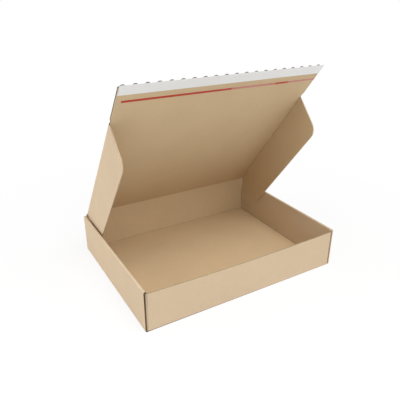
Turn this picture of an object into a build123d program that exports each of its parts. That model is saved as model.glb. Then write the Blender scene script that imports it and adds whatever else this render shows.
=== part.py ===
from build123d import *
import os

# Board, and the room that its folds need
board = 1.6                  # thickness of the corrugated board
pocket_gap = 1.1             # outer side panel to the corner flap tucked behind it
lining_gap = 0.3             # corner flap to the inner side panel, and tabs in their slots
crease_gap = 0.3             # running gap round a rounded crease
overrun = 5.0                # how far a cut runs past what it cuts

# Tray
outer_width = 350.0
outer_depth = 261.2
side_height = 68.3           # top of the rolled side walls
front_height = 64.6          # cut edge of the front wall, at its ends
front_dip = 3.2              # how much lower that edge is in the middle
hinge_height = 72.0          # crease between the rear wall and the lid
fold_radius = 2.0            # outside of the creases round the floor
corner_radius = 2.8          # outside of the upright creases at the four corners
crest_gap = 0.7              # inside the fold over the top of the side walls
lean_height = 30.0           # over which the inner side panels lean out to that fold
lean_radius = 150.0          # where the lean begins
roll_share = 0.96            # of a full half round, over the top of the side walls
panel_setback = 0.4          # ends of the outer side panels from the front and rear faces
end_gap = 0.8                # ends of the inner side panels to the front and rear walls
corner_flap_length = 90.0    # corner flaps, along the side walls
corner_flap_gap = 0.8        # corner flaps to the floor fold and to the rolled edge
tab_width = 30.0             # locking tabs of the inner side panels
tab_spacing = 120.0          # between the two tabs of one side
tab_lift = 0.2               # tab ends above the surface that the box stands on

# Lid with its ears
lid_length = 263.5           # rear crease to front crease
lid_open_angle = 52.1        # from closed to the pose of the photograph
ear_clearance = 0.6          # ears to the inside of the side walls
ear_depth = 64.0             # crease to free edge
ear_rear_inset = 2.6         # rear crease to the ear, along the lid's side crease
ear_rear_slant = 7.0         # how much further the free edge starts
ear_front_reach = 256.5      # rear crease to the ear's front corner
ear_front_slant = 12.0       # how much shorter the free edge is at the front
ear_front_radius = 18.0
ear_rear_radius = 6.0

# Closing flap, with what is stuck to its inside
closing_length = 63.3        # front crease to the roots of the saw-cut edge
closing_inset = 0.4          # side edges of the flap inside the ears' outer faces
tooth_count = 20
tooth_height = 3.0
tooth_shift = 2.5            # teeth nearer to the left corner than an even spread
tooth_root_share = 0.56      # of the pitch, across the root of a tooth
tooth_tip_share = 0.22       # of the pitch, across its tip
strip_width = 18.0           # release strip
strip_reach = 3.4            # past the tooth roots, bridging the gaps between the teeth
strip_inset = 1.2            # left end of the strip from the flap's side edge
strip_thickness = 0.2
adhesive_width = 12.0
adhesive_inset = 6.0         # both ends of the adhesive from the flap's side edges
adhesive_thickness = 0.2
tape_width = 4.0
tape_setback = 25.4          # tooth roots to the near edge of the tear tape
tape_inset = 9.0             # left end of the tape from the flap's side edge
tape_thickness = 0.2

# Places that follow from these sizes
half_width = outer_width / 2
half_depth = outer_depth / 2
half_board = board / 2
flap_face = half_width - board - pocket_gap
lining_face = flap_face - board - lining_gap
inner_half = lining_face - board
panel_reach = half_depth - panel_setback
lining_reach = half_depth - board - end_gap
lean_level = side_height - lean_height
corner_flap_top = lean_level - corner_flap_gap
rear_end_top = side_height - board - corner_flap_gap
crease_y = half_depth - half_board
lid_inside = hinge_height - half_board
ear_face = inner_half - ear_clearance
ear_axis = ear_face - board
front_crease_y = crease_y - lid_length
tooth_root_y = front_crease_y - closing_length
closing_half = ear_face - closing_inset


def block(x_span, y_span, z_span):
    """Box between two values on each axis."""
    spans = (x_span, y_span, z_span)
    middle = [(low + high) / 2 for low, high in spans]
    return Pos(*middle) * Box(*(high - low for low, high in spans))


def rod_along_x(radius, half_length, y, z):
    """Round bar across the box."""
    return Pos(0, y, z) * Rot(0, 90, 0) * Cylinder(radius, 2 * half_length)


def rod_along_y(radius, y_span, x, z):
    """Round bar from front to rear."""
    low, high = y_span
    return Pos(x, (low + high) / 2, z) * Rot(90, 0, 0) * Cylinder(radius, high - low)


def rounded_well(half_x, half_y, corner, fold, bottom):
    """Solid with rounded upright corners and a rounded bottom edge, up to the hinge."""
    plan = Pos(0, 0, bottom) * RectangleRounded(2 * half_x, 2 * half_y, corner)
    well = extrude(plan, hinge_height - bottom)
    return fillet(well.edges().group_by(Axis.Z)[0], fold)


def above_the_front():
    """Room above the front wall, whose cut edge dips towards the middle."""
    top = hinge_height + overrun
    left = (-half_width, front_height)
    right = (half_width, front_height)
    dip = ThreePointArc(left, (0, front_height - front_dip), right)
    rest = Polyline(right, (half_width, top), (-half_width, top), left)
    return extrude(Plane.XZ * make_face([dip, rest]), half_depth + overrun)


def front_and_rear_walls():
    """Floor, front wall and rear wall, with the corner flaps bent back from the wall ends."""
    walls = rounded_well(flap_face, half_depth, corner_radius, fold_radius, 0)
    walls -= rounded_well(
        flap_face - board, half_depth - board, corner_radius - board, fold_radius - board, board
    )
    walls -= above_the_front()
    top = hinge_height + overrun
    flap_reach = half_depth - corner_flap_length
    bend_reach = half_depth - corner_radius
    lean_reach = lining_reach + end_gap / 2
    for side in (-1, 1):
        beside_floor = sorted((side * (flap_face - fold_radius), side * (flap_face + overrun)))
        beside_lid = sorted((side * ear_face, side * (flap_face + overrun)))
        walls -= block(beside_floor, (-flap_reach, flap_reach), (board, top))
        walls -= block(beside_floor, (-bend_reach, bend_reach), (board, fold_radius + corner_flap_gap))
        walls -= block(beside_floor, (-lean_reach, lean_reach), (corner_flap_top, top))
        walls -= block(beside_lid, (0, half_depth + overrun), (rear_end_top, top))
    return walls


def rolled_side_walls():
    """Floor and both side walls in one section: up outside, over the top and down inside."""
    outer_line = half_width - half_board
    crest_line = outer_line - board - crest_gap
    inner_line = inner_half + half_board
    roll_line = side_height - half_board
    panel_end = board + lining_gap
    right_half = [
        (outer_line, half_board),
        (outer_line, roll_line),
        (crest_line, roll_line),
        (inner_line, lean_level),
        (inner_line, panel_end),
    ]
    left_half = [(-x, z) for x, z in reversed(right_half)]
    roll = (outer_line - crest_line) / 2 * roll_share
    fold = fold_radius - half_board
    bends = [fold, roll, roll, lean_radius]
    line = FilletPolyline(*left_half, *right_half, radius=[*reversed(bends), *bends])
    across = (-half_width - overrun, half_width + overrun)
    ends = block(across, (-panel_reach, panel_reach), (0, side_height + overrun))
    ends = fillet(ends.edges().filter_by(Axis.X).group_by(Axis.Z)[0], fold_radius)
    return extrude(Plane.XZ * trace(line, board), panel_reach, both=True) & ends


def lining_ends():
    """Room at the ends of the inner side panels, where the front and rear walls pass."""
    room = []
    for side in (-1, 1):
        lining = sorted((side * (inner_half - overrun), side * (flap_face + pocket_gap / 2)))
        front = (-half_depth - overrun, -lining_reach)
        rear = (lining_reach, half_depth + overrun)
        room.append(block(lining, front, (board, front_height + end_gap)))
        room.append(block(lining, rear, (board, rear_end_top + corner_flap_gap / 2)))
    return room


def tab_places():
    """Middles of the four locking tabs, as x and y."""
    line = inner_half + half_board
    return [(side * line, end * tab_spacing / 2) for side in (-1, 1) for end in (-1, 1)]


def tab_block(x, y, room, z_span):
    """A locking tab, or the slot for it with some room all round."""
    reach = tab_width / 2 + room
    thick = half_board + room
    return block((x - thick, x + thick), (y - reach, y + reach), z_span)


def tray():
    """The whole tray, folded from one sheet and locked by the tabs in its floor."""
    sheet = front_and_rear_walls() + (rolled_side_walls() - lining_ends())
    for x, y in tab_places():
        sheet -= tab_block(x, y, lining_gap, (-overrun, board + lining_gap / 2))
        sheet += tab_block(x, y, 0, (tab_lift, board + 2 * lining_gap))
    return sheet + rod_along_x(half_board, ear_axis, crease_y, hinge_height)


def ear_span():
    """Where the ears join the lid, from front to rear."""
    return (crease_y - ear_front_reach, crease_y - ear_rear_inset)


def lid_panel():
    """Lid with a rounded front crease and rounded side creases, lying closed."""
    panel = block(
        (-ear_axis, ear_axis),
        (front_crease_y, crease_y - half_board - crease_gap),
        (lid_inside, lid_inside + board),
    )
    panel += rod_along_x(half_board, ear_axis, front_crease_y, hinge_height)
    for side in (-1, 1):
        outside = sorted((side * ear_axis, side * (ear_axis + board)))
        corner = block(outside, ear_span(), (lid_inside, lid_inside + board))
        panel += rod_along_y(board, ear_span(), side * ear_axis, lid_inside) & corner
    return panel


def right_ear():
    """Side ear of the lid, folded down, with a rounded front corner."""
    front, rear = ear_span()
    free_edge = lid_inside - ear_depth
    outline = FilletPolyline(
        (rear, lid_inside),
        (front, lid_inside),
        (front + ear_front_slant, free_edge),
        (rear - ear_rear_slant, free_edge),
        radius=[0, 0, ear_front_radius, ear_rear_radius],
        close=True,
    )
    ear = extrude(Plane.YZ.offset(ear_axis) * make_face(outline), board)
    past_ends = (front - overrun, rear + overrun)
    return ear - rod_along_y(board + crease_gap, past_ends, ear_axis, lid_inside)


def closing_flap():
    """Front flap of the lid with its saw-cut free edge, in line with the lid."""
    half = closing_half
    near = front_crease_y - half_board - crease_gap
    pitch = 2 * half / tooth_count
    root = pitch * tooth_root_share / 2
    tip = pitch * tooth_tip_share / 2
    outline = [(-half, near), (-half, tooth_root_y)]
    for number in range(tooth_count):
        middle = -half + pitch * number + pitch / 2 - tooth_shift
        outline.append((middle - root, tooth_root_y))
        outline.append((middle - tip, tooth_root_y - tooth_height))
        outline.append((middle + tip, tooth_root_y - tooth_height))
        outline.append((middle + root, tooth_root_y))
    outline += [(half, tooth_root_y), (half, near)]
    face = make_face(Polyline(*outline, close=True))
    return extrude(Pos(0, 0, lid_inside) * face, board)


def on_the_inside(left_inset, right_inset, setback, width, lift, thickness):
    """Flat band on the inside of the closing flap, set back from the tooth roots."""
    across = (-closing_half + left_inset, closing_half - right_inset)
    near = tooth_root_y + setback
    level = lid_inside - lift
    return block(across, (near, near + width), (level - thickness, level))


def adhesive_strip():
    """Band of adhesive under the middle of the release strip."""
    margin = (strip_width - strip_reach - adhesive_width) / 2
    return on_the_inside(adhesive_inset, adhesive_inset, margin, adhesive_width, 0, adhesive_thickness)


def release_strip():
    """Paper strip over the adhesive, bridging the gaps of the saw-cut edge."""
    return on_the_inside(strip_inset, 0, -strip_reach, strip_width, adhesive_thickness, strip_thickness)


def tear_tape():
    """Narrow tape beside the release strip, running out at the flap's right edge."""
    return on_the_inside(tape_inset, 0, tape_setback, tape_width, 0, tape_thickness)


def opened(piece):
    """A piece of the lid, turned from closed to the open pose about the rear crease."""
    crease = Axis((0, crease_y, hinge_height), (1, 0, 0))
    return piece.rotate(crease, -lid_open_angle)


pieces = {
    "tray": tray(),
    "lid_panel": opened(lid_panel()),
    "right_ear": opened(right_ear()),
    "left_ear": opened(mirror(right_ear(), about=Plane.YZ)),
    "closing_flap": opened(closing_flap()),
    "adhesive_strip": opened(adhesive_strip()),
    "release_strip": opened(release_strip()),
    "tear_tape": opened(tear_tape()),
}

os.makedirs("parts", exist_ok=True)
for name, piece in pieces.items():
    export_step(piece, f"parts/{name}.step")
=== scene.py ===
import logging
import math
from dataclasses import dataclass, field
from enum import Enum
from typing import Callable, Sequence

import bmesh
import bpy
from bpy.types import Material, Mesh, Node, NodeSocket, NodeTree, Object
from mathutils import Matrix, Vector


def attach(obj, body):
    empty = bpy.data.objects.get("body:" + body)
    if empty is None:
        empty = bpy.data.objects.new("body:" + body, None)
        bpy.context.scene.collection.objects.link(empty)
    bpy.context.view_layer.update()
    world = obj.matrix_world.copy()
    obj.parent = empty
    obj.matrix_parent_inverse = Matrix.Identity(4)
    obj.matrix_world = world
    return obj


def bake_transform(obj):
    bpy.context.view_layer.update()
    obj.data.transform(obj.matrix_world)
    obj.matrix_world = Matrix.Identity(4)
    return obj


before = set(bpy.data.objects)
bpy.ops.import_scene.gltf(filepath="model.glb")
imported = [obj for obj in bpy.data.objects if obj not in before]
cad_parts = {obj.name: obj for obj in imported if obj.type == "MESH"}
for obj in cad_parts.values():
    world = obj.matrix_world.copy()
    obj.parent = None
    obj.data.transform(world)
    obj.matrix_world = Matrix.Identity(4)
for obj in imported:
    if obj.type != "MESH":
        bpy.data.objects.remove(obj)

MM = 0.001
SQUARE_ON = 0.95  # cosine above which a face counts as square to a direction
NOISE_MIDDLE = 0.5
QUARTER_TURN = math.pi / 2
FULL_TURN = 2 * math.pi
WIDTH = Vector((1.0, 0.0, 0.0))
REAR = Vector((0.0, 1.0, 0.0))
UP = Vector((0.0, 0.0, 1.0))
WHITE = (1.0, 1.0, 1.0, 1.0)
Numbers = tuple[float, ...]
log = logging.getLogger("shipping_box")


class Side(Enum):
    """The two sides of the box, by the sign of X."""

    LEFT = -1
    RIGHT = 1

    @property
    def away(self) -> Vector:
        """From the middle of the box to this side."""
        return WIDTH * self.value

    @property
    def label(self) -> str:
        """How the names of this side's pieces begin."""
        return self.name.lower()


class Surface(Enum):
    """What a face of the corrugated board is."""

    OUTSIDE = "outside"
    INSIDE = "inside"
    FOLD = "fold"
    # The cut-edge surfaces below are lit and shaded copies of one finish, with shade or light painted into
    # their colour
    CUT = "cut"
    CUT_PAPER = "cut_paper"
    PRESSED = "pressed"
    PRESSED_PAPER = "pressed_paper"
    TRIMMED = "trimmed"
    TRIMMED_PAPER = "trimmed_paper"


class FluteRun(Enum):
    """Which way the flutes are crossed on a panel."""

    ALONG_WIDTH = "along_width"
    UP_SIDE_WALL = "up_side_wall"
    DOWN_EAR = "down_ear"


Kind = tuple[Surface, FluteRun]


def mm(*lengths: float) -> Numbers:
    """Lengths in metres, from millimetres."""
    return tuple(length * MM for length in lengths)


def placed(name: str, data: bpy.types.ID) -> Object:
    """Put a mesh, a lamp or a camera in the scene.

    Args:
        name: The object's name.
        data: What it holds.

    Returns:
        The object, at the origin.
    """
    thing = bpy.data.objects.new(name, data)
    bpy.context.scene.collection.objects.link(thing)
    return thing


class NodeSketch:
    """Short hand for placing and joining the nodes of one tree."""

    def __init__(self, tree: NodeTree) -> None:
        """Keep the tree that the nodes go into."""
        self.tree = tree

    def feed(self, node: Node, values: dict) -> None:
        """Set or link some inputs of a node.

        Args:
            node: The node.
            values: Numbers or incoming sockets, by the input's name or number.
        """
        for key, value in values.items():
            if isinstance(value, NodeSocket):
                self.tree.links.new(value, node.inputs[key])
            else:
                node.inputs[key].default_value = value

    def add(self, kind: str, values: dict | None = None, **settings: object) -> Node:
        """Place a node.

        Args:
            kind: The node's Blender type.
            values: Numbers or incoming sockets, by the input's name or number.
            settings: Properties of the node itself, set first.

        Returns:
            The new node.
        """
        node = self.tree.nodes.new(kind)
        for name, value in settings.items():
            setattr(node, name, value)
        self.feed(node, values or {})
        return node

    def math(self, operation: str, first: object, second: object = 0.0) -> NodeSocket:
        """The result of one sum, of numbers or sockets."""
        return self.add("ShaderNodeMath", {0: first, 1: second}, operation=operation).outputs[0]

    def times(self, first: object, second: object) -> NodeSocket:
        """The product of two numbers or sockets."""
        return self.math("MULTIPLY", first, second)

    def scaled(self, vector: object, factor: object) -> NodeSocket:
        """A vector or a colour times a number."""
        return self.add("ShaderNodeVectorMath", {0: vector, "Scale": factor}, operation="SCALE").outputs[0]

    def noise(self, place: NodeSocket, scale: float, **values: float) -> NodeSocket:
        """A noise texture, with its other inputs by name."""
        return self.add("ShaderNodeTexNoise", {"Vector": place, "Scale": scale, **values}).outputs[0]


@dataclass
class PaperGroups:
    """Shader node groups that several finishes share, and the scales of their marks."""

    cloud_scale: float = 19.0
    fibre_scales: tuple[Numbers, ...] = ((950.0, 140.0, 420.0), (150.0, 900.0, 140.0))
    fibre_turn: Numbers = (0.3, 0.2, 0.35)
    fibre_height: float = 0.07 * MM
    fleck_scale: Numbers = (340.0, 120.0, 190.0)
    fleck_turn: Numbers = (0.5, 0.4, 0.6)
    fleck_reach: float = 0.12
    bare_share: float = 0.7
    gloss_share: float = 0.6
    wave_scale: float = 9.0
    patch_scale: float = 14.0

    def __post_init__(self) -> None:
        """Build each group once."""
        self.grain = self._grain()
        self.relief = self._relief()

    @staticmethod
    def _new(name: str, outputs: dict[str, str], **inputs: object) -> tuple:
        """Start a shader group.

        Args:
            name: The group's name.
            outputs: Socket type of each output, by name.
            inputs: Default of each input, by name: a number, three for a vector or four for a colour.

        Returns:
            The sketch, the sockets that bring the inputs and the group's output node.
        """
        tree = bpy.data.node_groups.new(name, "ShaderNodeTree")
        kinds = {1: "NodeSocketFloat", 3: "NodeSocketVector", 4: "NodeSocketColor"}
        for label, default in inputs.items():
            kind = kinds[len(default) if isinstance(default, tuple) else 1]
            tree.interface.new_socket(label, in_out="INPUT", socket_type=kind).default_value = default
        for label, kind in outputs.items():
            tree.interface.new_socket(label, in_out="OUTPUT", socket_type=kind)
        sketch = NodeSketch(tree)
        return sketch, sketch.add("NodeGroupInput").outputs, sketch.add("NodeGroupOutput")

    def _grain(self) -> NodeTree:
        """Paper fibres, clouding and dark flecks.

        Returns:
            A group that puts out a tinted colour, a height in metres and a roughness.
        """
        outputs = {"Colour": "NodeSocketColor", "Height": "NodeSocketFloat", "Roughness": "NodeSocketFloat"}
        amounts = {"Clouding": 0.1, "Fibre": 0.1, "Fleck": 0.2, "Roughness": 0.85}
        sketch, given, result = self._new(
            "paper_grain", outputs, Vector=(0.0, 0.0, 0.0), Colour=WHITE, **amounts
        )
        place = given["Vector"]
        cloud = sketch.noise(place, self.cloud_scale, Detail=4.0, Roughness=0.6)
        turns = [(scale, self.fibre_turn) for scale in self.fibre_scales]
        *drawn, spots = (
            sketch.add("ShaderNodeMapping", {"Vector": place, "Scale": scale, "Rotation": turn}).outputs[0]
            for scale, turn in (*turns, (self.fleck_scale, self.fleck_turn))
        )
        strands = [sketch.noise(fibres, 1.0, Detail=4.0, Distortion=0.6) for fibres in drawn]
        fibre = sketch.times(sketch.math("ADD", *strands), 0.5)
        cells = sketch.add("ShaderNodeTexVoronoi", {"Vector": spots, "Scale": 1.0, "Randomness": 1.0})
        near = sketch.math("LESS_THAN", cells.outputs["Distance"], self.fleck_reach)
        lot = sketch.add("ShaderNodeSeparateXYZ", {0: cells.outputs["Color"]}).outputs[0]
        rare = sketch.math("GREATER_THAN", lot, self.bare_share)
        fleck = sketch.times(sketch.times(near, rare), given["Fleck"])
        clouding = sketch.times(sketch.math("SUBTRACT", cloud, NOISE_MIDDLE), given["Clouding"])
        streak = sketch.times(sketch.math("SUBTRACT", fibre, NOISE_MIDDLE), given["Fibre"])
        pale = sketch.math("ADD", sketch.math("ADD", 1.0, clouding), streak)
        results = {
            "Colour": sketch.scaled(given["Colour"], sketch.math("SUBTRACT", pale, fleck)),
            "Height": sketch.times(fibre, self.fibre_height),
            "Roughness": sketch.math("ADD", given["Roughness"], sketch.times(streak, self.gloss_share)),
        }
        sketch.feed(result, results)
        return sketch.tree

    def _relief(self) -> NodeTree:
        """The flutes that show faintly through a liner, and slow waves of the whole panel.

        Returns:
            A group that puts out a height in metres and a shade about 1: painted shade that darkens and
            lightens the colour along the flute ridges.
        """
        outputs = {"Height": "NodeSocketFloat", "Shade": "NodeSocketFloat"}
        lengths = {"Pitch": 3.3 * MM, "Depth": 0.03 * MM, "Wave": 0.8 * MM}
        sketch, given, result = self._new(
            "flute_relief", outputs, Vector=(0.0, 0.0, 0.0), Across=(1.0, 0.0, 0.0), **lengths, Tone=0.02
        )
        place = given["Vector"]
        across = sketch.add("ShaderNodeVectorMath", {0: place, 1: given["Across"]}, operation="DOT_PRODUCT")
        turns = sketch.math("DIVIDE", across.outputs["Value"], given["Pitch"])
        ridge = sketch.math("COSINE", sketch.times(turns, FULL_TURN))
        felt = sketch.times(ridge, sketch.noise(place, self.patch_scale, Detail=1.0))
        slow = sketch.times(sketch.noise(place, self.wave_scale, Detail=1.0), given["Wave"])
        height = sketch.math("ADD", sketch.times(felt, given["Depth"]), slow)
        # Painted shade of the flute ridges on the colour
        shade = sketch.math("ADD", 1.0, sketch.times(felt, given["Tone"]))
        sketch.feed(result, {"Height": height, "Shade": shade})
        return sketch.tree


@dataclass(frozen=True)
class PaperTone:
    """How a paper or a film looks close up."""

    colour: Numbers
    clouding: float = 0.10
    fibre: float = 0.16
    fleck: float = 0.16
    roughness: float = 0.84


@dataclass(frozen=True)
class LinerTone(PaperTone):
    """How one surface of the board looks, with the flutes felt through it."""

    flute_depth: float = 0.03 * MM
    # How strongly the flute ridges are painted in as shade on the colour
    flute_tone: float = 0.02


@dataclass(frozen=True)
class CutTone(LinerTone):
    """How a cut edge of the board looks; its copies below paint more or less shade of the flute hollows and
    gaps into the colour.
    """

    clouding: float = 0.3
    fibre: float = 0.5
    fleck: float = 0.0
    flute_depth: float = 0.0


BOARD_TONES = {
    Surface.OUTSIDE: LinerTone((0.616, 0.479, 0.326)),
    Surface.INSIDE: LinerTone((0.606, 0.458, 0.281), clouding=0.12, flute_tone=0.03),
    Surface.FOLD: LinerTone((0.634, 0.495, 0.343), 0.16, 0.26, flute_depth=0.0, flute_tone=0.0),
    # The darkest cut-edge copies: painted shade of the open flute hollows and of shadowed gaps
    Surface.CUT: CutTone((0.060, 0.041, 0.025), fibre=0.4),
    Surface.CUT_PAPER: CutTone((0.170, 0.120, 0.074)),
    # Mid-dark copies: painted shade of the hollows on cut edges; on the score lines, darker from the crushed
    # liner and from painted shade in the fold
    Surface.PRESSED: CutTone((0.330, 0.240, 0.150)),
    Surface.PRESSED_PAPER: CutTone((0.480, 0.360, 0.230)),
    # The lit copies of the cut edge, painted lighter than the shaded ones
    Surface.TRIMMED: CutTone((0.540, 0.415, 0.280)),
    Surface.TRIMMED_PAPER: CutTone((0.610, 0.470, 0.315)),
}


class PaperShader:
    """A material whose colour and roughness come from the paper grain."""

    def __init__(self, name: str, groups: PaperGroups, tone: PaperTone) -> None:
        """Start the material.

        Args:
            name: The material's name.
            groups: The shared node groups.
            tone: How the paper looks.
        """
        self.material = bpy.data.materials.new(name)
        self.material.use_nodes = True
        self.sketch = NodeSketch(self.material.node_tree)
        self.place = self.sketch.add("ShaderNodeTexCoord").outputs["Object"]
        labels = ("Clouding", "Fibre", "Fleck", "Roughness")
        values = {label: getattr(tone, label.lower()) for label in labels}
        values |= {"Vector": self.place, "Colour": (*tone.colour, 1.0)}
        self.grain = self.sketch.add("ShaderNodeGroup", values, node_tree=groups.grain)
        self.colour, self.height, roughness = self.grain.outputs
        self.feed({"Base Color": self.colour, "Roughness": roughness})

    def feed(self, values: dict) -> None:
        """Set or link some inputs of the shader, by name."""
        self.sketch.feed(self.material.node_tree.nodes["Principled BSDF"], values)

    def roughen(self, strength: float, extra: object = 0.0) -> None:
        """Let the height of the grain, and a further one in metres, bend the light."""
        bump = {"Height": self.sketch.math("ADD", self.height, extra), "Strength": strength, "Distance": 1.0}
        self.feed({"Normal": self.sketch.add("ShaderNodeBump", bump).outputs[0]})


@dataclass
class KraftBoard:
    """Finishes of the corrugated board, by surface and by the run of the flutes."""

    groups: PaperGroups
    across: dict[FluteRun, Vector]
    pitch: float = 3.3 * MM
    bump_strength: float = 0.7
    specular: float = 0.28
    made: dict[Kind, Material] = field(default_factory=dict)

    def finish(self, surface: Surface, run: FluteRun = FluteRun.ALONG_WIDTH) -> Material:
        """The material for a surface, built when it is first asked for.

        Args:
            surface: Which surface of the board it is for.
            run: Which way the flutes are crossed.

        Returns:
            The material.
        """
        if (surface, run) not in self.made:
            tone = BOARD_TONES[surface]
            paper = PaperShader(f"kraft_{surface.value}_{run.value}", self.groups, tone)
            values = {"Vector": paper.place, "Across": self.across[run], "Pitch": self.pitch}
            values |= {"Depth": tone.flute_depth, "Tone": tone.flute_tone}
            relief = paper.sketch.add("ShaderNodeGroup", values, node_tree=self.groups.relief).outputs
            paper.roughen(self.bump_strength, relief["Height"])
            # The relief's shade paints the flute ridges lighter and darker on the colour
            tint = paper.sketch.scaled(paper.colour, relief["Shade"])
            paper.feed({"Base Color": tint, "Specular IOR Level": self.specular})
            self.made[surface, run] = paper.material
        return self.made[surface, run]

    def paint(self, node: str, kind_of: Callable[[Vector, Vector], Kind]) -> None:
        """Give each face of a CAD node the finish of its surface.

        Args:
            node: The node's name.
            kind_of: Tells surface and flute run from a face's middle and normal.
        """
        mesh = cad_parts[node].data
        mesh.materials.clear()
        slots: dict[Kind, int] = {}
        for face in mesh.polygons:
            kind = kind_of(face.center, face.normal)
            if kind not in slots:
                slots[kind] = len(slots)
                mesh.materials.append(self.finish(*kind))
            face.material_index = slots[kind]


@dataclass(frozen=True)
class ReleasePaper:
    """White siliconed paper with a soft sheen."""

    tone: PaperTone = PaperTone((0.83, 0.84, 0.84), clouding=0.05, fibre=0.05, fleck=0.0, roughness=0.42)
    ripple_scale: float = 36.0
    ripple_height: float = 0.35 * MM
    bump_strength: float = 0.5
    specular: float = 0.45

    def material(self, groups: PaperGroups) -> Material:
        """Build the finish.

        Args:
            groups: The shared node groups.

        Returns:
            The material.
        """
        paper = PaperShader("release_paper_white", groups, self.tone)
        ripple = paper.sketch.noise(paper.place, self.ripple_scale, Detail=2.0)
        paper.roughen(self.bump_strength, paper.sketch.times(ripple, self.ripple_height))
        paper.feed({"Specular IOR Level": self.specular})
        return paper.material


@dataclass(frozen=True)
class TapeFilm:
    """Red film with fields of painted sheen along its length, where it turns pink."""

    tone: PaperTone = PaperTone((0.47, 0.036, 0.024), clouding=0.15, fibre=0.12, fleck=0.0, roughness=0.34)
    # Colour of the fields of painted sheen
    pink: Numbers = (0.54, 0.190, 0.155)
    changes: Numbers = mm(9.5, 89.0, 113.5)
    blur: float = 1.2 * MM
    border_noise_scale: float = 420.0
    bump_strength: float = 0.3
    coat: float = 0.25
    coat_roughness: float = 0.2

    def material(self, groups: PaperGroups) -> Material:
        """Build the finish.

        Args:
            groups: The shared node groups.

        Returns:
            The material.
        """
        film = PaperShader("tear_tape_red", groups, self.tone)
        sketch = film.sketch
        border_noise = sketch.noise(film.place, self.border_noise_scale, Detail=2.0)
        along = sketch.add("ShaderNodeSeparateXYZ", {0: film.place}).outputs[0]
        shifted = sketch.math("ADD", along, sketch.times(border_noise, self.blur))
        steps = [
            sketch.add(
                "ShaderNodeMapRange",
                {0: shifted, 1: change, 2: change + self.blur, 3: 0.0, 4: 1.0},
                interpolation_type="SMOOTHSTEP",
            ).outputs[0]
            for change in self.changes
        ]
        # Mask of the pink fields: painted sheen on the film
        pale = sketch.math("ADD", sketch.math("SUBTRACT", steps[0], steps[1]), steps[2])
        ends = {6: (*self.tone.colour, 1.0), 7: (*self.pink, 1.0)}
        mixed = sketch.add("ShaderNodeMix", {0: pale, **ends}, data_type="RGBA")
        sketch.feed(film.grain, {"Colour": mixed.outputs[2]})
        film.roughen(self.bump_strength)
        film.feed({"Coat Weight": self.coat, "Coat Roughness": self.coat_roughness})
        return film.material


@dataclass(frozen=True)
class GlueFilm:
    """Pale tacky film under the release strip."""

    tone: PaperTone = PaperTone((0.74, 0.70, 0.58), clouding=0.1, fibre=0.1, fleck=0.0, roughness=0.25)

    def material(self, groups: PaperGroups) -> Material:
        """Build the finish from the shared node groups."""
        return PaperShader("adhesive_film", groups, self.tone).material


@dataclass(frozen=True)
class LidPlane:
    """Where the open lid lies: its rear crease and its angle from closed."""

    crease_y: float = 129.8 * MM
    crease_z: float = 72.0 * MM
    angle: float = math.radians(52.1)

    @property
    def along(self) -> Vector:
        """From the rear crease to the front of the lid."""
        return Vector((0.0, -math.cos(self.angle), math.sin(self.angle)))

    @property
    def inward(self) -> Vector:
        """From the lid's middle plane to its inside."""
        return Vector((0.0, -math.sin(self.angle), -math.cos(self.angle)))

    def point(self, x: float, s: float, d: float) -> Vector:
        """A point by its place across, along the lid and towards its inside."""
        return Vector((x, self.crease_y, self.crease_z)) + s * self.along + d * self.inward


@dataclass(frozen=True)
class BoardSizes:
    """Sizes of the board that every panel shares, and of the paper laid over it."""

    thickness: float = 1.6 * MM
    crease_gap: float = 0.3 * MM
    liner: float = 0.05 * MM
    lift: float = 0.015 * MM

    @property
    def half(self) -> float:
        """Half the thickness."""
        return self.thickness / 2


@dataclass
class CutRun:
    """A line along the middle of one cut edge of the board.

    Fields:
        points: The line.
        through: Through the thickness of the board, at each point.
        flute: Distance across the flutes, at each point.
    """

    points: list[Vector]
    through: list[Vector]
    flute: list[float]


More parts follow.
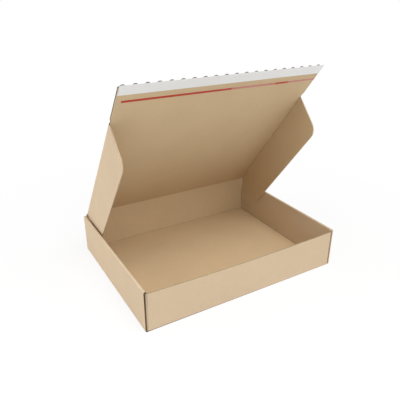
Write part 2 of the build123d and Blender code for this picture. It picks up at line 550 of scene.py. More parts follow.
@dataclass
class FluteEdges:
    """Geometry Nodes tree that draws the two liners and the wavy middle paper along cut edges."""

    sizes: BoardSizes
    pitch: float
    paper: float = 0.11 * MM
    flute_steps: int = 9
    paper_corners: int = 5
    wave_inset: float = 3.0  # in thicknesses of the paper
    liner_inset: float = 1.2

    def __post_init__(self) -> None:
        """Start the tree, with its inputs by name."""
        self.tree = bpy.data.node_groups.new("flute_edges", "GeometryNodeTree")
        step = self.pitch / self.flute_steps
        self.values = {"Pitch": self.pitch, "Board": self.sizes.thickness, "Paper": self.paper, "Step": step}
        kinds = {"Geometry": "Geometry", **dict.fromkeys(self.values, "Float"), "Material": "Material"}
        face = self.tree.interface
        self.sockets = {
            name: face.new_socket(name, in_out="INPUT", socket_type=f"NodeSocket{kind}").identifier
            for name, kind in kinds.items()
        }
        face.new_socket("Geometry", in_out="OUTPUT", socket_type="NodeSocketGeometry")
        self._draw()

    def _draw(self) -> None:
        """Place and join the nodes."""
        sketch = NodeSketch(self.tree)
        given = sketch.add("NodeGroupInput").outputs
        line = sketch.add("GeometryNodeMeshToCurve", {0: given["Geometry"]}).outputs[0]
        fine = sketch.add(
            "GeometryNodeResampleCurve", {"Curve": line, "Length": given["Step"]}, mode="LENGTH"
        ).outputs[0]
        through, flute = (
            sketch.add("GeometryNodeInputNamedAttribute", {"Name": name}, data_type=kind)
            for name, kind in (("through", "FLOAT_VECTOR"), ("flute", "FLOAT"))
        )
        turns = sketch.math("DIVIDE", flute.outputs["Attribute"], given["Pitch"])
        wave = sketch.math("SINE", sketch.times(turns, FULL_TURN))
        room, liner = (
            sketch.times(sketch.math("SUBTRACT", given["Board"], sketch.times(given["Paper"], inset)), 0.5)
            for inset in (self.wave_inset, self.liner_inset)
        )
        profile = sketch.add(
            "GeometryNodeCurvePrimitiveCircle", {"Resolution": self.paper_corners, "Radius": given["Paper"]}
        ).outputs[0]
        joined = sketch.add("GeometryNodeJoinGeometry")
        for offset in (sketch.times(wave, room), liner, sketch.times(liner, -1.0)):
            shift = sketch.scaled(through.outputs["Attribute"], offset)
            moved = sketch.add("GeometryNodeSetPosition", {"Geometry": fine, "Offset": shift}).outputs[0]
            tube = sketch.add(
                "GeometryNodeCurveToMesh", {"Curve": moved, "Profile Curve": profile, "Fill Caps": True}
            )
            sketch.feed(joined, {0: tube.outputs[0]})
        real = sketch.add("GeometryNodeRealizeInstances", {0: joined.outputs[0]}).outputs[0]
        dressed = sketch.add("GeometryNodeSetMaterial", {0: real, "Material": given["Material"]})
        sketch.add("NodeGroupOutput", {0: dressed.outputs[0]})

    def make(self, name: str, runs: Sequence[CutRun], material: Material) -> Object:
        """Draw the paper edges along some lines.

        Args:
            name: The piece's name.
            runs: The lines along the cut edges.
            material: The finish of the paper's edge.

        Returns:
            A plain mesh object at the origin.
        """
        points: list[Vector] = []
        edges: list[tuple[int, int]] = []
        for run in runs:
            first = len(points)
            points += run.points
            edges += [(first + i, first + i + 1) for i in range(len(run.points) - 1)]
        through = [value for run in runs for vector in run.through for value in vector]
        flute = [value for run in runs for value in run.flute]
        mesh = bpy.data.meshes.new(name + "_lines")
        mesh.from_pydata(points, edges, [])
        mesh.attributes.new("through", "FLOAT_VECTOR", "POINT").data.foreach_set("vector", through)
        mesh.attributes.new("flute", "FLOAT", "POINT").data.foreach_set("value", flute)
        lines = placed(name + "_lines", mesh)
        modifier = lines.modifiers.new("flute_edges", "NODES")
        modifier.node_group = self.tree
        for label, value in {**self.values, "Material": material}.items():
            modifier[self.sockets[label]] = value
        graph = bpy.context.evaluated_depsgraph_get()
        plain = bpy.data.meshes.new_from_object(lines.evaluated_get(graph))
        bpy.data.objects.remove(lines)
        plain.name = name
        return placed(name, plain)


@dataclass
class PaperStrip:
    """A line across a strip of thin paper, with the way off the board at each of its points."""

    thick: float
    points: list[Vector] = field(default_factory=list)
    out: list[Vector] = field(default_factory=list)
    rim_share: float = 0.08
    rise_share: float = 4.0
    crisp_angle: float = math.radians(50.0)

    def straight(self, start: Vector, way: Vector, distances: Sequence[float], out: Vector) -> None:
        """Add points at some distances along a straight way, with one way off the board."""
        self.points += [start + way * distance for distance in distances]
        self.out += [out] * len(distances)

    def bend(self, rays: Sequence[Vector], middle: Vector, radius: float, angle: float, steps: int) -> None:
        """Add points round a bend.

        Args:
            rays: Off the board at the bend's start, and square to that.
            middle: The bend's middle.
            radius: Its radius, below zero where the paper lies in the hollow.
            angle: How far it turns.
            steps: Number of lengths that it is cut into.
        """
        for k in range(steps + 1):
            turn = angle * k / steps
            ray = rays[0] * math.cos(turn) + rays[1] * math.sin(turn)
            self.points.append(middle + ray * radius)
            self.out.append(ray)

    def sweep(self, name: str, run: Vector, steps: int, finish: Material) -> Object:
        """Sweep the line straight into a closed strip that thins to nothing at its edges.

        Args:
            name: The piece's name.
            run: How far and which way the line is swept.
            steps: Number of lengths that the sweep is cut into.
            finish: The strip's finish.

        Returns:
            A mesh object at the origin.
        """
        last = len(self.points) - 1
        shares = [self.rim_share + self.rise_share * min(i, last - i) / last for i in range(last + 1)]
        ring = [p + o * self.thick * min(1.0, share) for p, o, share in zip(self.points, self.out, shares)]
        ring += reversed(self.points)
        size = len(ring)
        points = [p + run * (k / steps) for k in range(steps + 1) for p in ring]
        faces = [
            (k * size + i, k * size + (i + 1) % size, (k + 1) * size + (i + 1) % size, (k + 1) * size + i)
            for k in range(steps)
            for i in range(size)
        ]
        for base in (0, steps * size):
            for i in range(last):
                faces.append((base + i, base + i + 1, base + size - 2 - i, base + size - 1 - i))
        mesh = bpy.data.meshes.new(name)
        mesh.from_pydata(points, [], faces)
        mesh.materials.append(finish)
        self._smooth(mesh)
        return placed(name, mesh)

    def _smooth(self, mesh: Mesh) -> None:
        """Turn the faces of a closed mesh outwards and shade them smooth, with crisp rims.

        Args:
            mesh: The mesh.
        """
        work = bmesh.new()
        work.from_mesh(mesh)
        bmesh.ops.recalc_face_normals(work, faces=work.faces)
        work.to_mesh(mesh)
        work.free()
        for face in mesh.polygons:
            face.use_smooth = True
        mesh.set_sharp_from_angle(angle=self.crisp_angle)


def rounded_line(corners: Sequence[Vector], radii: Sequence[float], steps: int = 8) -> list[Vector]:
    """An open line through some corners with its inner corners rounded.

    Args:
        corners: The line's corners, in the plane.
        radii: One radius for each inner corner.
        steps: Number of lengths along each rounded corner.

    Returns:
        The line's points.
    """
    line = [corners[0].copy()]
    for i, radius in enumerate(radii, start=1):
        back = (corners[i - 1] - corners[i]).normalized()
        ahead = (corners[i + 1] - corners[i]).normalized()
        half = math.acos(max(-1.0, min(1.0, back.dot(ahead)))) / 2
        reach = radius / math.tan(half)
        centre = corners[i] + (back + ahead).normalized() * (radius / math.sin(half))
        first = corners[i] + back * reach - centre
        span = first.angle_signed(corners[i] + ahead * reach - centre)
        line += [centre + Matrix.Rotation(-span * k / steps, 2) @ first for k in range(steps + 1)]
    line.append(corners[-1].copy())
    return line


@dataclass
class Tray:
    """The tray with its front and rear walls and its rolled side walls."""

    sizes: BoardSizes
    board: KraftBoard
    edges: FluteEdges
    near: float = 0.06 * MM  # how close a face lies to a plane that it counts as part of
    half_width: float = 175.0 * MM
    half_depth: float = 130.6 * MM
    front_height: float = 64.6 * MM
    front_dip: float = 3.2 * MM
    side_height: float = 68.3 * MM
    rear_end_top: float = 65.9 * MM
    flap_face: float = 172.3 * MM
    lining_face: float = 170.4 * MM
    crest_gap: float = 0.7 * MM
    crest_reach: float = 0.3 * MM
    lean_height: float = 30.0 * MM
    lean_start: float = 0.1 * MM
    end_gap: float = 0.8 * MM
    end_foot: float = 2.4 * MM
    panel_reach: float = 130.2 * MM
    corner_radius: float = 2.8 * MM
    corner_turn: float = math.radians(72.0)
    corner_steps: int = 4
    front_steps: int = 12
    roll_steps: int = 10
    step_x: float = 168.2 * MM
    inner_face: float = 168.8 * MM
    inner_foot: float = 1.9 * MM
    inner_reach: float = 128.2 * MM
    foot_shadow_height: float = 0.35 * MM
    foot_shadow_steps: int = 12
    score_radius: float = 0.4 * MM
    score_reach: float = 0.35 * MM
    score_shares: Numbers = (0.2, 0.6, 1.0)
    score_bend_steps: int = 6
    score_steps: int = 24
    web_near: float = 168.1 * MM
    web_far: float = 171.3 * MM
    web_top: float = 72.3 * MM
    web_low: float = 68.2 * MM
    web_drop: float = 6.3 * MM
    web_setback: float = 0.9 * MM
    web_steps: int = 4
    even_shares: Numbers = (0.0, 0.25, 0.5, 0.75, 1.0)

    def layer(self, depth: float, other: Surface) -> Surface:
        """What a face is by its depth in the board: one of the two liners, or else the other surface."""
        deep = Surface.INSIDE if abs(depth - self.sizes.thickness) < self.near else other
        return Surface.OUTSIDE if depth < self.near else deep

    def kind_of(self, middle: Vector, normal: Vector) -> Kind:
        """Tell what a face of the tray is.

        Args:
            middle: The face's middle.
            normal: The face's normal.

        Returns:
            Its surface and the run of its flutes.
        """
        wide, high = abs(middle.x), middle.z
        run = FluteRun.ALONG_WIDTH
        if abs(normal.x) > SQUARE_ON:
            # Faces at step_x above the rear wall's end take the mid-dark pressed cut tone, with painted
            # shade of the hollows
            if abs(wide - self.step_x) < self.near and high > self.rear_end_top:
                return Surface.PRESSED, run
            lining = wide < self.lining_face - self.near or high > self.side_height - self.lean_height
            rolled_in = normal.x * middle.x < 0 and lining
            outer = wide > self.half_width - self.near
            return (Surface.OUTSIDE if outer or rolled_in else Surface.INSIDE), FluteRun.UP_SIDE_WALL
        if abs(normal.y) > SQUARE_ON:
            # The side walls' cut ends: a shaded copy on the left, with the shade of the gap there painted
            # in, and a lit copy on the right, painted lighter
            end = Surface.CUT if middle.x < 0 else Surface.TRIMMED
            return self.layer(self.half_depth - abs(middle.y), end), run
        if abs(normal.z) > SQUARE_ON:
            if high > self.side_height - self.crest_reach:
                return Surface.OUTSIDE, FluteRun.UP_SIDE_WALL
            # Other flat faces that are no liner are cut edges, in the mid-dark pressed tone with painted
            # shade of their hollows
            return self.layer(high, Surface.PRESSED), run
        return Surface.FOLD, run

    def front_top(self, x: float) -> float:
        """Height of the front wall's cut edge, which dips in a shallow arc."""
        radius = (self.half_width**2 + self.front_dip**2) / (2 * self.front_dip)
        return self.front_height - self.front_dip + radius - math.sqrt(radius**2 - x**2)

    def front_edge(self) -> CutRun:
        """The cut top edge of the front wall, round the corner bends at both ends.

        Returns:
            The line along the edge.
        """
        bend = self.corner_radius - self.sizes.half
        reach = self.flap_face - self.corner_radius
        line_y = -self.half_depth + self.sizes.half
        points, through = [], []
        for k in range(self.corner_steps + 1):
            turn = self.corner_turn * (1 - k / self.corner_steps)
            ray = Vector((-math.sin(turn), -math.cos(turn), 0.0))
            points.append(Vector((-reach, line_y + bend, 0.0)) + bend * ray)
            through.append(-ray)
        steps = self.front_steps
        points += [Vector((reach * (k / steps - 1), line_y, 0.0)) for k in range(1, steps + 1)]
        through += [REAR] * steps
        points += [Vector((-p.x, p.y, 0.0)) for p in reversed(points[:-1])]
        through += [Vector((-v.x, v.y, 0.0)) for v in reversed(through[:-1])]
        for point in points:
            point.z = self.front_top(point.x)
        return CutRun(points, through, [p.x for p in points])

    def side_end(self, side: Side, front: bool) -> CutRun:
        """The cut end of one side wall: up the outer panel, over the roll and down the inner panel.

        Args:
            side: Which side wall.
            front: Whether it is the front end.

        Returns:
            The line along the end.
        """
        outer = self.half_width - self.sizes.half
        radius = (self.sizes.thickness + self.crest_gap) / 2
        middle, level = outer - radius, self.side_height - self.sizes.half - radius
        foot = self.front_height if front else self.rear_end_top
        y = -self.panel_reach if front else self.panel_reach
        flat = [(outer, self.end_foot), (outer, level)]
        for k in range(1, self.roll_steps):
            turn = math.pi * k / self.roll_steps
            flat.append((middle + radius * math.cos(turn), level + radius * math.sin(turn)))
        flat.append((middle - radius - self.lean_start, foot + self.end_gap))
        points = [Vector((side.value * x, y, z)) for x, z in flat]
        through, flute, length = [], [], 0.0
        for i, point in enumerate(points):
            ahead = (points[min(i + 1, len(points) - 1)] - points[max(i - 1, 0)]).normalized()
            through.append(Vector((ahead.z, 0.0, -ahead.x)))
            length += (point - points[i - 1]).length if i else 0.0
            flute.append(length)
        return CutRun(points, through, flute)

    def foot_shadow(self, side: Side) -> Object:
        """Painted shadow along the foot of one inner side panel: a dark strip that stands for the shade of
        the gap under its cut foot.

        Args:
            side: Which side wall.

        Returns:
            The strip.
        """
        foot = Vector((side.value * self.inner_face, -self.inner_reach, self.inner_foot))
        paper = PaperStrip(self.sizes.liner)
        heights = [share * self.foot_shadow_height for share in reversed(self.even_shares)]
        paper.straight(foot - side.away * self.sizes.lift, UP, heights, -side.away)
        # The strip takes the darkest cut tone: painted shadow of the gap under the panel's foot
        finish = self.board.finish(Surface.CUT, FluteRun.UP_SIDE_WALL)
        return paper.sweep(f"{side.label}_panel_seam", REAR * 2 * self.inner_reach, self.foot_shadow_steps, finish)

    def score_line(self, name: str, wall: Vector) -> Object:
        """Pressed line in the fold between the floor and the front or rear wall, darker from the crushed
        liner and from painted shade in the fold.

        Args:
            name: The piece's name.
            wall: From the wall into the tray.

        Returns:
            The strip.
        """
        thickness, radius = self.sizes.thickness, self.score_radius - self.sizes.lift
        middle = UP * (thickness + self.score_radius) - WIDTH * self.inner_face
        middle -= wall * (self.half_depth - thickness - self.score_radius)
        reaches = [share * self.score_reach for share in self.score_shares]
        paper = PaperStrip(self.sizes.liner)
        paper.straight(middle - wall * radius, UP, reaches[::-1], wall)
        paper.bend((wall, UP), middle, -radius, QUARTER_TURN, self.score_bend_steps)
        paper.straight(middle - UP * radius, wall, reaches, UP)
        run = WIDTH * 2 * self.inner_face
        return paper.sweep(name, run, self.score_steps, self.board.finish(Surface.PRESSED_PAPER))

    def corner_web(self, side: Side) -> Object:
        """Slanting bit of crushed board at one end of the rear wall's top.

        Args:
            side: Which end.

        Returns:
            The strip.
        """
        line_y = self.half_depth - self.web_setback
        top = Vector((side.value * self.web_near, line_y, self.web_top))
        low = Vector((side.value * self.web_far, line_y, self.web_low))
        paper = PaperStrip(self.sizes.liner)
        paper.straight(top, low - top, self.even_shares, REAR)
        run, finish = UP * -self.web_drop, self.board.finish(Surface.FOLD)
        return paper.sweep(f"{side.label}_corner_web", run, self.web_steps, finish)

    def dress(self) -> list[Object]:
        """Paint the tray, draw its cut edges and lay its painted foot shadows, score lines and corner webs.

        Returns:
            The pieces that were added.
        """
        self.board.paint("tray", self.kind_of)
        left, right = ([self.side_end(side, front) for front in (True, False)] for side in Side)
        # Paper edges: the left ends' in the shaded copy with painted shade of the gap, the right ends' in
        # the lit copy painted lighter, the front wall's top in the mid-dark pressed copy
        cuts = (
            ("tray_shaded_cut_edges", Surface.CUT_PAPER, left),
            ("tray_lit_cut_edges", Surface.TRIMMED_PAPER, right),
            ("tray_pressed_edges", Surface.PRESSED_PAPER, [self.front_edge()]),
        )
        pieces = [self.edges.make(name, runs, self.board.finish(surface)) for name, surface, runs in cuts]
        pieces += [self.foot_shadow(side) for side in Side]
        walls = {"front_score_line": REAR, "rear_score_line": -REAR}
        pieces += [self.score_line(name, wall) for name, wall in walls.items()]
        pieces += [self.corner_web(side) for side in Side]
        return [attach(piece, "tray") for piece in pieces]


@dataclass
class Lid:
    """The lid's main panel, its side ears and its closing flap, with the paper over their creases."""

    sizes: BoardSizes
    plane: LidPlane
    board: KraftBoard
    edges: FluteEdges
    length: float = 263.5 * MM
    ear_axis: float = 166.6 * MM
    ear_depth: float = 64.0 * MM
    ear_rear: float = 2.6 * MM
    ear_rear_slant: float = 7.0 * MM
    ear_front: float = 256.5 * MM
    ear_front_slant: float = 12.0 * MM
    ear_front_radius: float = 18.0 * MM
    ear_rear_radius: float = 6.0 * MM
    closing_half: float = 167.8 * MM
    closing_length: float = 63.3 * MM
    tooth_count: int = 20
    tooth_height: float = 3.0 * MM
    tooth_shift: float = 2.5 * MM
    tooth_root_share: float = 0.56
    tooth_tip_share: float = 0.22
    edge_on: float = 0.05  # cosine below which a face counts as an edge of the panel
    cut_slant: float = 0.3  # cosine above which such an edge counts as cut
    hinge_spans: Numbers = mm(0.6, 1.5, 3.0, 5.0)  # spans are distances from a crease
    hinge_flex: Numbers = mm(0.5, 0.9)  # flexes are where the bending part of the paper would end; their points are worked out, but nothing bends by them
    inner_spans: Numbers = mm(0.1, 0.25, 0.4, 0.55, 0.8, 1.5, 3.0, 5.0)
    inner_flex: Numbers = mm(0.55, 0.85)
    inner_setback: float = 0.26 * MM
    inner_room: float = 1.8 * MM
    flap_spans: Numbers = mm(0.25, 0.5, 0.75, 1.0, 1.6, 3.0, 5.0)
    flap_flex: float = 0.9 * MM
    flap_room: float = 0.2 * MM
    fold_spans: Numbers = mm(0.5, 1.2, 2.5, 4.0)
    ear_spans: Numbers = mm(0.6, 1.2, 2.2, 3.2, 4.5)
    ear_inner_spans: Numbers = mm(0.2, 0.5, 1.0, 1.6, 2.2, 3.0, 4.2)
    ear_flex: float = 0.2 * MM
    ear_start: float = 0.95 * MM
    ear_inner_start: float = 0.3 * MM
    ear_room: float = 1.0 * MM
    bend_steps: int = 8
    width_steps: int = 24
    ear_steps: int = 16

    def panel_kind(self, middle: Vector, normal: Vector) -> Kind:
        """Tell what a face of the lid panel or of the closing flap is.

        Args:
            middle: The face's middle.
            normal: The face's normal.

        Returns:
            Its surface and the run of its flutes.
        """
        facing = normal.dot(self.plane.inward)
        if abs(facing) > SQUARE_ON:
            return (Surface.INSIDE if facing > 0 else Surface.OUTSIDE), FluteRun.ALONG_WIDTH
        # The lid's cut faces take the darkest cut tone, painted shade of the flute hollows
        cut_end = abs(normal.dot(self.plane.along)) > self.cut_slant and abs(facing) < self.edge_on
        cut = abs(normal.x) > SQUARE_ON or cut_end
        return (Surface.CUT if cut else Surface.FOLD), FluteRun.ALONG_WIDTH

    def ear_kind(self, middle: Vector, normal: Vector) -> Kind:
        """Tell what a face of an ear is, by its middle and its normal."""
        liner = Surface.OUTSIDE if normal.x * middle.x > 0 else Surface.INSIDE
        # The ears' cut faces take the lit cut tone, painted lighter
        return (Surface.TRIMMED if abs(normal.x) < SQUARE_ON else liner), FluteRun.DOWN_EAR

    def ear_edge(self, side: Side) -> CutRun:
        """The cut outline of one ear, from its front corner round the free edge to the rear corner.

        Args:
            side: Which ear.

        Returns:
            The line along the outline.
        """
        h = self.sizes.half
        depth = self.ear_depth + h
        top = h + self.sizes.thickness + self.sizes.crease_gap
        top_share = (top - h) / self.ear_depth
        outline = [
            Vector((self.ear_front - self.ear_front_slant * top_share, top)),
            Vector((self.ear_front - self.ear_front_slant, depth)),
            Vector((self.ear_rear + self.ear_rear_slant, depth)),
            Vector((self.ear_rear + self.ear_rear_slant * top_share, top)),
        ]
        line = rounded_line(outline, [self.ear_front_radius, self.ear_rear_radius])
        x = side.value * (self.ear_axis + h)
        points = [self.plane.point(x, p.x, p.y) for p in line]
        return CutRun(points, [WIDTH] * len(points), [p.y for p in line])

    def flap_edge(self) -> CutRun:
        """The cut outline of the closing flap, with the teeth of its free edge.

        Returns:
            The line along the outline.
        """
        near = self.length + self.sizes.half + self.sizes.crease_gap
        root = self.length + self.closing_length
        tooth = root + self.tooth_height
        pitch = 2 * self.closing_half / self.tooth_count
        foot, tip = pitch * self.tooth_root_share / 2, pitch * self.tooth_tip_share / 2
        flat = [(-self.closing_half, near), (-self.closing_half, root)]
        for number in range(self.tooth_count):
            middle = -self.closing_half + pitch * (number + 0.5) - self.tooth_shift
            flat += [(middle - foot, root), (middle - tip, tooth)]
            flat += [(middle + tip, tooth), (middle + foot, root)]
        flat += [(self.closing_half, root), (self.closing_half, near)]
        points = [self.plane.point(x, s, 0.0) for x, s in flat]
        return CutRun(points, [self.plane.inward] * len(points), [x for x, _ in flat])

    def panel_edges(self) -> list[CutRun]:
        """The short cut edges of the lid panel's sides, before and behind the ears.

        Returns:
            A line along each.
        """
        rear = (self.sizes.half + self.sizes.crease_gap, self.ear_rear)
        runs = []
        for x in (-self.ear_axis, self.ear_axis):
            for ends in (rear, (self.ear_front, self.length)):
                points = [self.plane.point(x, s, 0.0) for s in ends]
                runs.append(CutRun(points, [self.plane.inward] * 2, [x, x]))
        return runs

    def hinge_liners(self) -> list[Object]:
        """Paper that runs over the rear crease, outside and inside, from the rear wall to the lid.

        Returns:
            The two strips.
        """
        h, plane, steps = self.sizes.half, self.plane, self.width_steps
        depth = h + self.sizes.lift
        axis = plane.point(0.0, 0.0, 0.0)
        left = WIDTH * -(self.ear_axis + h)
        paper = PaperStrip(self.sizes.liner)
        paper.straight(axis + left + REAR * depth, -UP, self.hinge_spans[::-1], REAR)
        paper.bend((REAR, UP), axis + left, depth, QUARTER_TURN - plane.angle, self.bend_steps)
        paper.straight(axis + left - plane.inward * depth, plane.along, self.hinge_spans, -plane.inward)
        outside = paper.sweep("hinge_liner_outside", -2 * left, steps, self.board.finish(Surface.FOLD))
        below, above = self.hinge_flex
        plane.point(0.0, above, -h)
        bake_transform(outside)
        corner = axis - REAR * depth - UP * self.inner_setback
        left += WIDTH * self.inner_room
        paper = PaperStrip(self.sizes.liner)
        paper.straight(corner + left, -UP, self.inner_spans[::-1], -REAR)
        first = plane.point(left.x, self.inner_setback, depth)
        paper.straight(first, plane.along, self.inner_spans, plane.inward)
        inside = paper.sweep("hinge_liner_inside", -2 * left, steps, self.board.finish(Surface.INSIDE))
        below, above = self.inner_flex
        plane.point(0.0, above, h)
        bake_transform(inside)
        return [outside, inside]

    def flap_liners(self) -> list[Object]:
        """Paper that runs over the front crease, outside and inside, from the lid to the closing flap.

        Returns:
            The two strips.
        """
        plane, length, steps = self.plane, self.length, self.width_steps
        left = WIDTH * (self.flap_room - self.ear_axis)
        spans = [-span for span in reversed(self.flap_spans)] + [0.0, *self.flap_spans]
        start, end = (plane.point(0.0, length + flex, 0.0) for flex in (-self.flap_flex, self.flap_flex))
        pieces = []
        for name, sign, surface in (("outside", -1, Surface.OUTSIDE), ("inside", 1, Surface.INSIDE)):
            paper = PaperStrip(self.sizes.liner)
            crease = plane.point(left.x, length, sign * (self.sizes.half + self.sizes.lift))
            paper.straight(crease, plane.along, spans, sign * plane.inward)
            piece = paper.sweep(f"flap_liner_{name}", -2 * left, steps, self.board.finish(surface))
            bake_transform(piece)
            pieces.append(piece)
        return pieces

    def ear_liners(self, side: Side) -> list[Object]:
        """Paper that runs over one ear's crease: round the outside, and down the inside.

        Args:
            side: Which ear.

        Returns:
            The two strips.
        """
        t, along, inward = self.sizes.thickness, self.plane.along, self.plane.inward
        body, away = f"{side.label}_ear", side.away
        radius = t + self.sizes.lift + self.sizes.liner
        axis = self.plane.point(side.value * self.ear_axis, self.ear_start, self.sizes.half)
        run = along * (self.ear_front - self.ear_room - self.ear_start)
        paper = PaperStrip(self.sizes.liner)
        paper.straight(axis - inward * radius, -away, self.fold_spans[::-1], -inward)
        paper.bend((-inward, away), axis, radius, QUARTER_TURN, self.bend_steps)
        paper.straight(axis + away * radius, inward, self.ear_spans, away)
        finish = self.board.finish(Surface.FOLD, FluteRun.DOWN_EAR)
        outside = paper.sweep(f"{body}_liner_outside", run, self.ear_steps, finish)
        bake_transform(outside)
        begin = along * (self.ear_rear + self.ear_inner_start - self.ear_start)
        paper = PaperStrip(self.sizes.liner)
        paper.straight(axis + begin - away * self.sizes.lift, inward, self.ear_inner_spans, -away)
        finish = self.board.finish(Surface.INSIDE, FluteRun.DOWN_EAR)
        inside = paper.sweep(f"{body}_liner_inside", run - begin, self.ear_steps, finish)
        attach(inside, body)
        return [outside, inside]

    def dress(self) -> list[Object]:
        """Paint the lid's nodes, draw their cut edges and lay paper over the creases.

        Returns:
            The pieces that were added.
        """
        self.board.paint("lid_panel", self.panel_kind)
        self.board.paint("closing_flap", self.panel_kind)
        # Paper edges of the lid and flap are in the shaded copy, with painted shade; the ears' in the lit
        # copy, painted lighter
        cuts = [
            ("lid", "lid_cut_edges", Surface.CUT_PAPER, self.panel_edges()),
            ("closing_flap", "flap_cut_edges", Surface.CUT_PAPER, [self.flap_edge()]),
        ]
        for side in Side:
            body = f"{side.label}_ear"
            self.board.paint(body, self.ear_kind)
            cuts.append((body, f"{body}_cut_edges", Surface.TRIMMED_PAPER, [self.ear_edge(side)]))
        pieces = []
        for body, name, surface, runs in cuts:
            piece = self.edges.make(name, runs, self.board.finish(surface))
            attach(piece, body)
            pieces.append(piece)
        pieces += self.hinge_liners() + self.flap_liners()
        for side in Side:
            pieces += self.ear_liners(side)
        return [piece for piece in pieces]


@dataclass(frozen=True)
class Bands:
    """What is stuck to the inside of the closing flap."""

    paper: ReleasePaper = ReleasePaper()
    tape: TapeFilm = TapeFilm()
    glue: GlueFilm = GlueFilm()

    def dress(self, groups: PaperGroups) -> None:
        """Give each band its finish.

        Args:
            groups: The shared node groups.
        """
        finishes = {"release_strip": self.paper, "tear_tape": self.tape, "adhesive_strip": self.glue}
        for node, finish in finishes.items():
            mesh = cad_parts[node].data
            mesh.materials.clear()
            mesh.materials.append(finish.material(groups))


@dataclass(frozen=True)
class SoftBox:
    """One soft lamp, aimed at the box."""

    name: str
    place: Numbers
    size: Numbers
    power: float
    aim: Numbers = (0.0, 0.0, 0.08)

    def hang(self) -> None:
        """Put the lamp in the scene."""
        lamp = bpy.data.lights.new(self.name, "AREA")
        lamp.shape = "RECTANGLE"
        lamp.size, lamp.size_y = self.size
        lamp.energy = self.power
        holder = placed(self.name, lamp)
        holder.location = self.place
        holder.rotation_euler = (Vector(self.aim) - Vector(self.place)).to_track_quat("-Z", "Y").to_euler()
        holder.visible_camera = False


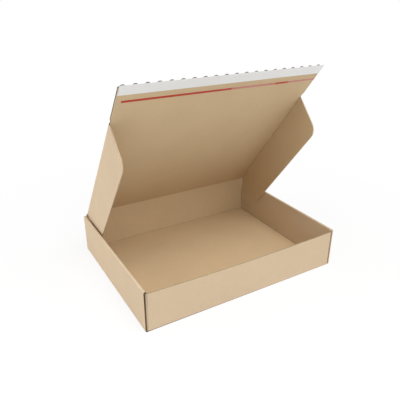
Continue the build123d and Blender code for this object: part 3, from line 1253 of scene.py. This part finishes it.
@dataclass(frozen=True)
class Studio:
    """Camera, lamps, pale floor and white surroundings."""

    camera_place: Numbers = (-0.36183, -0.59639, 0.43801)
    yaw: float = math.radians(30.502)
    pitch: float = math.radians(25.071)
    roll: float = math.radians(0.135)
    lens: float = 40.726
    sensor_width: float = 36.0
    clip_start: float = 0.01
    world_strength: float = 0.3
    floor_reach: float = 12.0
    floor_level: float = -0.05 * MM
    floor_colour: Numbers = (0.92, 0.92, 0.92, 1.0)
    fade: Numbers = (0.25, 0.6)  # between these distances the shadow on the floor fades out
    white_share: float = 0.8  # how white the floor is to the eye inside them
    lamps: tuple[SoftBox, ...] = (
        SoftBox("front_lamp", (-0.2, -1.7, 0.9), (1.6, 1.0), 4.8),
        SoftBox("front_right_lamp", (1.3, -1.2, 1.0), (1.2, 1.2), 4.3),
        SoftBox("top_lamp", (-0.3, -0.5, 1.8), (1.4, 1.4), 14.1),
        SoftBox("top_front_lamp", (0.3, -0.9, 1.7), (1.2, 1.0), 12.3),
        SoftBox("left_rear_lamp", (-1.5, 0.7, 0.5), (1.2, 0.9), 12.2),
    )

    def set_up(self) -> None:
        """Build the whole studio."""
        self._camera()
        self._surroundings()
        self._floor()
        for lamp in self.lamps:
            lamp.hang()
        bpy.context.scene.view_settings.view_transform = "Standard"

    def _camera(self) -> None:
        """Place the camera at the photograph's angle."""
        data = bpy.data.cameras.new("camera")
        data.lens = self.lens
        data.sensor_width = self.sensor_width
        data.clip_start = self.clip_start
        camera = placed("camera", data)
        aim = Matrix.Rotation(-self.yaw, 4, "Z") @ Matrix.Rotation(QUARTER_TURN - self.pitch, 4, "X")
        tilt = Matrix.Rotation(self.roll, 4, "Z")
        camera.matrix_world = Matrix.Translation(self.camera_place) @ aim @ tilt
        bpy.context.scene.camera = camera

    @staticmethod
    def _seen(sketch: NodeSketch) -> NodeSocket:
        """Whether a ray is the camera's, a mirror's or a glass's own.

        Args:
            sketch: The tree to place the nodes in.

        Returns:
            A socket that is 1 for such a ray.
        """
        path = sketch.add("ShaderNodeLightPath").outputs
        direct = sketch.math("MAXIMUM", path["Is Camera Ray"], path["Is Glossy Ray"])
        return sketch.math("MAXIMUM", direct, path["Is Transmission Ray"])

    def _surroundings(self) -> None:
        """White to the eye, and an even soft light."""
        world = bpy.data.worlds.new("white_surroundings")
        world.use_nodes = True
        bpy.context.scene.world = world
        sketch = NodeSketch(world.node_tree)
        strength = sketch.add("ShaderNodeMapRange", {0: self._seen(sketch), 3: self.world_strength, 4: 1.0})
        values = {"Color": WHITE, "Strength": strength.outputs[0]}
        sketch.feed(world.node_tree.nodes["Background"], values)

    def _floor(self) -> None:
        """A wide pale floor that keeps a soft shadow."""
        reach = self.floor_reach
        corners = ((-reach, -reach), (reach, -reach), (reach, reach), (-reach, reach))
        mesh = bpy.data.meshes.new("floor")
        mesh.from_pydata([(x, y, self.floor_level) for x, y in corners], [], [(0, 1, 2, 3)])
        material = bpy.data.materials.new("pale_floor")
        material.use_nodes = True
        material.node_tree.nodes.clear()
        sketch = NodeSketch(material.node_tree)
        matte = sketch.add("ShaderNodeBsdfDiffuse", {"Color": self.floor_colour})
        white = sketch.add("ShaderNodeEmission", {"Color": WHITE, "Strength": 1.0})
        place = sketch.add("ShaderNodeTexCoord").outputs["Object"]
        away = sketch.add("ShaderNodeVectorMath", {0: place}, operation="LENGTH").outputs["Value"]
        near, far = self.fade
        clear = sketch.add("ShaderNodeMapRange", {0: away, 1: near, 2: far, 3: self.white_share, 4: 1.0})
        share = sketch.times(self._seen(sketch), clear.outputs[0])
        mixed = sketch.add("ShaderNodeMixShader", {0: share, 1: matte.outputs[0], 2: white.outputs[0]})
        sketch.add("ShaderNodeOutputMaterial", {"Surface": mixed.outputs[0]})
        mesh.materials.append(material)
        placed("floor", mesh)


def main() -> None:
    """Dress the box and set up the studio."""
    logging.basicConfig(level=logging.INFO, format="%(name)s: %(message)s")
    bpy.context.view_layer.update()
    sizes = BoardSizes()
    plane = LidPlane()
    groups = PaperGroups()
    across = {
        FluteRun.ALONG_WIDTH: WIDTH,
        FluteRun.UP_SIDE_WALL: UP,
        FluteRun.DOWN_EAR: plane.inward,
    }
    board = KraftBoard(groups, across)
    edges = FluteEdges(sizes, board.pitch)
    added = Tray(sizes, board, edges).dress()
    added += Lid(sizes, plane, board, edges).dress()
    Bands().dress(groups)
    for piece in added:
        log.info("%s: %d faces", piece.name, len(piece.data.polygons))
    Studio().set_up()


if __name__ == "__main__":
    main()
